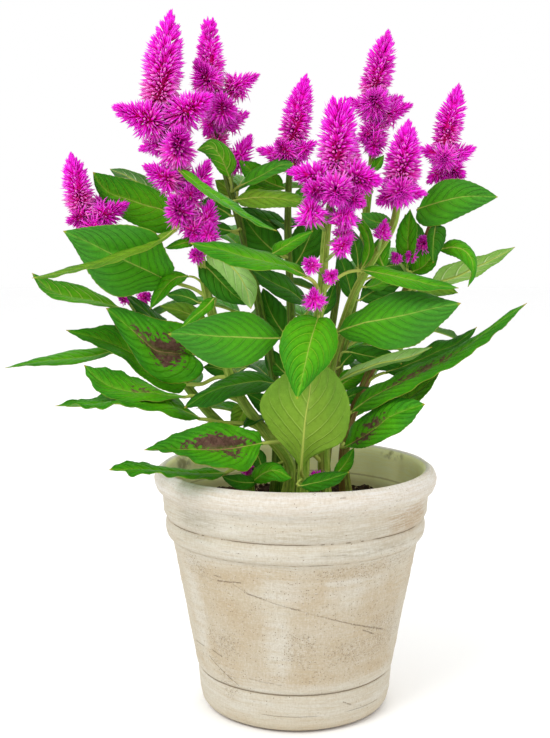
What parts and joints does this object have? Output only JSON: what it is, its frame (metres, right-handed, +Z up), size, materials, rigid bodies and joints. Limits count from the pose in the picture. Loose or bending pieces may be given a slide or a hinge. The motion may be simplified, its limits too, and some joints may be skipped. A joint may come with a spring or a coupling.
{
  "type": "potted celosia",
  "caption": "Plumed celosia in bloom, rooted in soil in a whitewashed clay pot: leafy branching stems carry upright pointed magenta flower spikes.",
  "frame": {"origin": "centre of the pot's flat underside", "axes": "+Z up along the pot's axis, +X to the viewer's right and +Y away from the viewer of the picture"},
  "size_m": [0.2829, 0.197, 0.3901],
  "materials": {
    "clay": "matte",
    "soil": "matte",
    "stem": "satin",
    "leaf": "satin",
    "petal": "matte"
  },
  "bodies": {
    "root": {"pot": "clay", "soil": "soil", "stem_centre": "stem", "stem_far_left": "stem", "stem_far_right": "stem", "stem_front": "stem", "stem_left": "stem", "stem_left_rear": "stem", "stem_rear": "stem", "stem_right": "stem", "stem_right_front": "stem", "flower_centre": "petal", "flower_far_left": "petal", "flower_far_right": "petal", "flower_front": "petal", "flower_left": "petal", "flower_left_rear": "petal", "flower_rear": "petal", "flower_right_front": "petal", "flower_right_rear": "petal", "leaf_front_01": "leaf", "leaf_front_02": "leaf", "leaf_front_03": "leaf", "leaf_front_04": "leaf", "leaf_front_05": "leaf", "leaf_front_06": "leaf", "leaf_front_07": "leaf", "leaf_left_01": "leaf", "leaf_left_02": "leaf", "leaf_left_03": "leaf", "leaf_left_04": "leaf", "leaf_left_05": "leaf", "leaf_left_06": "leaf", "leaf_left_07": "leaf", "leaf_left_08": "leaf", "leaf_left_09": "leaf", "leaf_left_10": "leaf", "leaf_left_11": "leaf", "leaf_left_12": "leaf", "leaf_left_13": "leaf", "leaf_left_14": "leaf", "leaf_rear_01": "leaf", "leaf_rear_02": "leaf", "leaf_rear_03": "leaf", "leaf_rear_04": "leaf", "leaf_rear_05": "leaf", "leaf_rear_06": "leaf", "leaf_rear_07": "leaf", "leaf_rear_08": "leaf", "leaf_rear_09": "leaf", "leaf_rear_10": "leaf", "leaf_rear_11": "leaf", "leaf_right_01": "leaf", "leaf_right_02": "leaf", "leaf_right_03": "leaf", "leaf_right_04": "leaf", "leaf_right_05": "leaf", "leaf_right_06": "leaf", "leaf_right_07": "leaf", "leaf_right_08": "leaf"}
  },
  "joints": []
}
